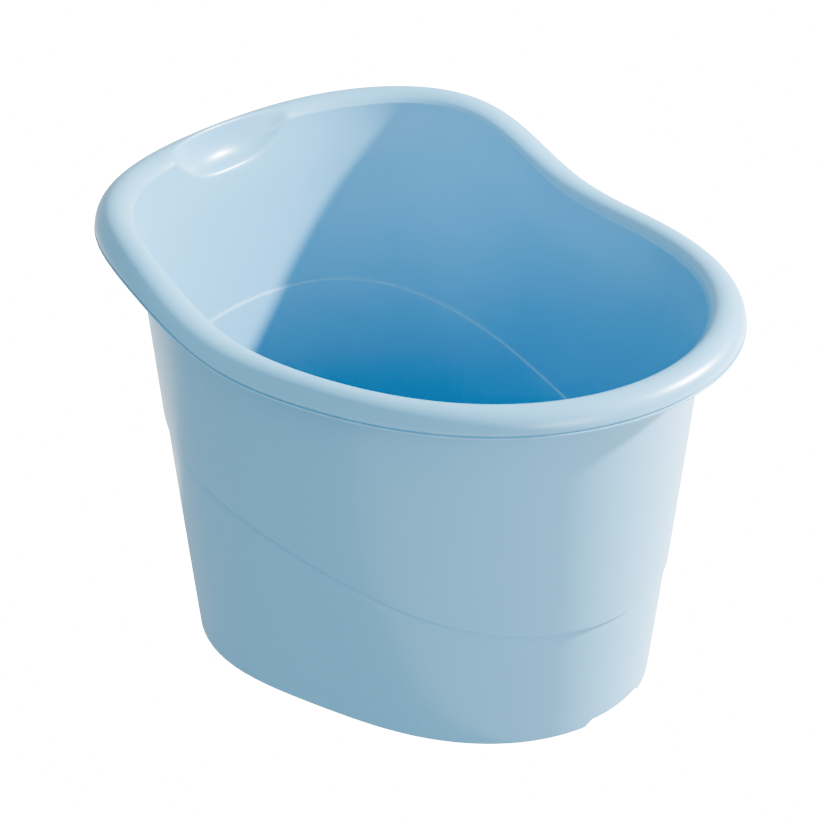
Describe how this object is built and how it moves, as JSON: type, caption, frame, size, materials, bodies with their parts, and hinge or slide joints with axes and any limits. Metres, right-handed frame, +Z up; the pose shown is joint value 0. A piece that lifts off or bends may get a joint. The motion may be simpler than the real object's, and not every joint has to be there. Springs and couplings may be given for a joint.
{
  "type": "baby bathtub",
  "caption": "Deep oval plastic bath barrel for a baby, with a low front rim, a high back with a hand hold, a floor drain with a pull-out stopper, and soft feet.",
  "frame": {"origin": "on the ground at the middle of the overall length and width", "axes": "+X towards the low front rim, +Y to the left side, +Z up"},
  "size_m": [0.5802, 0.5134, 0.4462],
  "materials": {
    "shell_blue": "light blue moulded polypropylene, soft gloss with a very fine texture",
    "drain_white": "white moulded plastic, satin",
    "ring_white": "white moulded plastic, satin",
    "stopper_rubber": "off-white soft rubber, matt",
    "seal_rubber": "dark rubber, matt",
    "foot_rubber": "grey soft rubber, matt with fine grip texture"
  },
  "bodies": {
    "tub": {"tub_shell": "shell_blue", "foot_front_left": "foot_rubber", "foot_front_right": "foot_rubber", "foot_rear_left": "foot_rubber", "foot_rear_right": "foot_rubber", "drain_flange": "drain_white", "drain_gasket": "seal_rubber", "drain_washer": "seal_rubber", "drain_nut": "drain_white"},
    "stopper": {"drain_stopper": "stopper_rubber"},
    "ring": {"stopper_ring": "ring_white"}
  },
  "joints": [
    {"name": "stopper_lift", "type": "slide", "parent": "tub", "child": "stopper", "axis": [0, 0, 1], "range_m": [0, 0.06]},
    {"name": "ring_swing", "type": "hinge", "parent": "stopper", "child": "ring", "pos_m": [0.12, 0, 0.0255], "axis": [0, 1, 0], "range_deg": [0, 180]}
  ]
}
